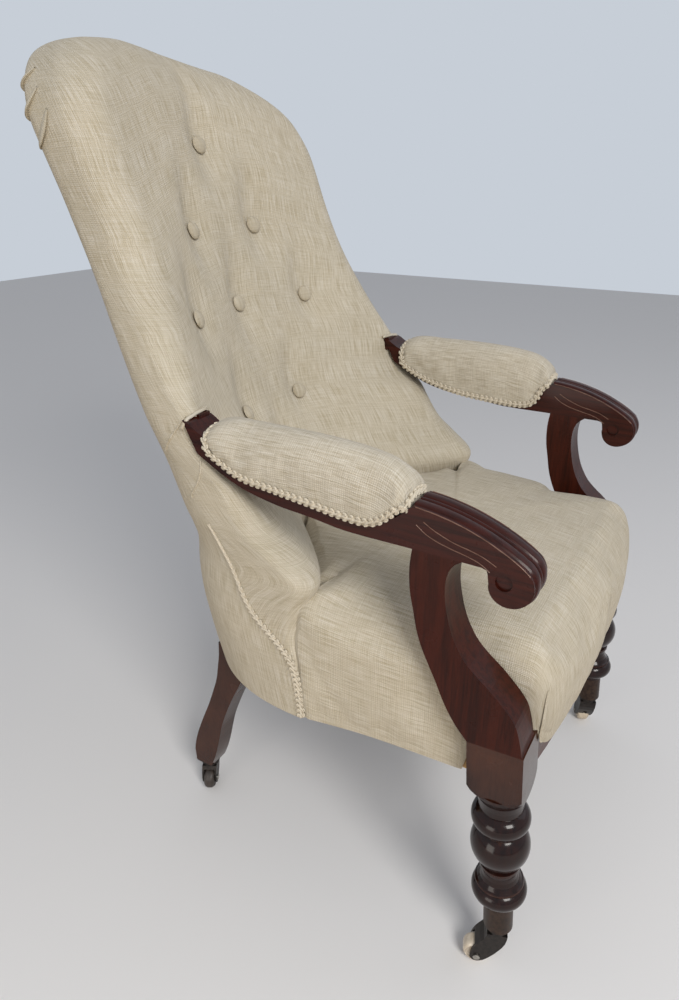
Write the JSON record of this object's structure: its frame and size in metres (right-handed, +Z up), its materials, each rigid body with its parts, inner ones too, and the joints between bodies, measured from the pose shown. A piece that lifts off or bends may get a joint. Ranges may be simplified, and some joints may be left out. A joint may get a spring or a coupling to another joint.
{
  "type": "open armchair",
  "caption": "High-backed, button-back open armchair with scrolled wooden arms on S-shaped posts, padded elbow rests, turned front legs, swept rear legs and castors.",
  "frame": {"origin": "on the floor under the middle of the chair's depth, on its middle plane", "axes": "+Z up, -Y towards the front of the seat, -X towards the sitter's right"},
  "size_m": [0.5882, 0.7638, 1.119],
  "materials": {
    "mahogany": "french polished",
    "beech": "sawn and planed",
    "cover_cloth": "textured cream upholstery weave",
    "braid": "woven scalloped braid",
    "horsehair": "curled hair and wadding",
    "jute": "plain jute",
    "black_cloth": "thin black lining",
    "castor_iron": "dark and worn",
    "screw_steel": "plain",
    "spring_steel": "coppered wire, aged",
    "ceramic_wheel": "glazed, worn cream",
    "dark_wheel": "dark and worn"
  },
  "bodies": {
    "chair": {"front_seat_rail": "beech", "right_seat_rail": "beech", "left_seat_rail": "beech", "back_seat_rail": "beech", "rear_corner_blocks": "beech", "front_glue_blocks": "beech", "right_front_leg": "mahogany", "left_front_leg": "mahogany", "right_rear_leg": "mahogany", "left_rear_leg": "mahogany", "right_back_upright": "beech", "left_back_upright": "beech", "crest_rail": "beech", "lower_back_rail": "beech", "right_arm_post": "mahogany", "left_arm_post": "mahogany", "right_arm": "mahogany", "left_arm": "mahogany", "arm_dowels": "beech", "arm_screws": "screw_steel", "seat_webbing": "jute", "seat_springs": "spring_steel", "seat_hessian": "jute", "seat_stuffing": "horsehair", "seat_cover": "cover_cloth", "bottom_cloth": "black_cloth", "back_webbing": "jute", "back_stuffing": "horsehair", "inside_back_cover": "cover_cloth", "outside_back_cover": "cover_cloth", "back_buttons": "cover_cloth", "right_pad_stuffing": "horsehair", "left_pad_stuffing": "horsehair", "right_pad_cover": "cover_cloth", "left_pad_cover": "cover_cloth", "right_pad_braid": "braid", "left_pad_braid": "braid", "right_back_braid": "braid", "left_back_braid": "braid", "right_front_castor_cup": "castor_iron", "left_front_castor_cup": "castor_iron", "right_rear_castor_plate": "castor_iron", "left_rear_castor_plate": "castor_iron", "castor_pins": "castor_iron"},
    "right_front_castor_swivel": {"right_front_castor_horn": "castor_iron", "right_front_axle": "castor_iron"},
    "right_front_castor_wheel": {"right_front_wheel": "ceramic_wheel"},
    "left_front_castor_swivel": {"left_front_castor_horn": "castor_iron", "left_front_axle": "castor_iron"},
    "left_front_castor_wheel": {"left_front_wheel": "ceramic_wheel"},
    "right_rear_castor_swivel": {"right_rear_castor_fork": "castor_iron", "right_rear_axle": "castor_iron"},
    "right_rear_castor_wheel": {"right_rear_wheel": "dark_wheel"},
    "left_rear_castor_swivel": {"left_rear_castor_fork": "castor_iron", "left_rear_axle": "castor_iron"},
    "left_rear_castor_wheel": {"left_rear_wheel": "dark_wheel"}
  },
  "joints": [
    {"name": "right_front_swivel", "type": "hinge", "parent": "chair", "child": "right_front_castor_swivel", "pos_m": [-0.255, -0.34516, 0.07], "axis": [0, 0, 1], "continuous": true},
    {"name": "right_front_wheel_spin", "type": "hinge", "parent": "right_front_castor_swivel", "child": "right_front_castor_wheel", "pos_m": [-0.26287, -0.32355, 0.018], "axis": [-0.9397, -0.342, 0], "continuous": true},
    {"name": "left_front_swivel", "type": "hinge", "parent": "chair", "child": "left_front_castor_swivel", "pos_m": [0.255, -0.34516, 0.07], "axis": [0, 0, 1], "continuous": true},
    {"name": "left_front_wheel_spin", "type": "hinge", "parent": "left_front_castor_swivel", "child": "left_front_castor_wheel", "pos_m": [0.27661, -0.3373, 0.018], "axis": [-0.342, 0.9397, 0], "continuous": true},
    {"name": "right_rear_swivel", "type": "hinge", "parent": "chair", "child": "right_rear_castor_swivel", "pos_m": [-0.20661, 0.179, 0.047], "axis": [0, 0, 1], "continuous": true},
    {"name": "right_rear_wheel_spin", "type": "hinge", "parent": "right_rear_castor_swivel", "child": "right_rear_castor_wheel", "pos_m": [-0.21721, 0.17337, 0.018], "axis": [0.4695, -0.8829, 0], "continuous": true},
    {"name": "left_rear_swivel", "type": "hinge", "parent": "chair", "child": "left_rear_castor_swivel", "pos_m": [0.20661, 0.179, 0.047], "axis": [0, 0, 1], "continuous": true},
    {"name": "left_rear_wheel_spin", "type": "hinge", "parent": "left_rear_castor_swivel", "child": "left_rear_castor_wheel", "pos_m": [0.21261, 0.16861, 0.018], "axis": [0.866, 0.5, 0], "continuous": true}
  ]
}
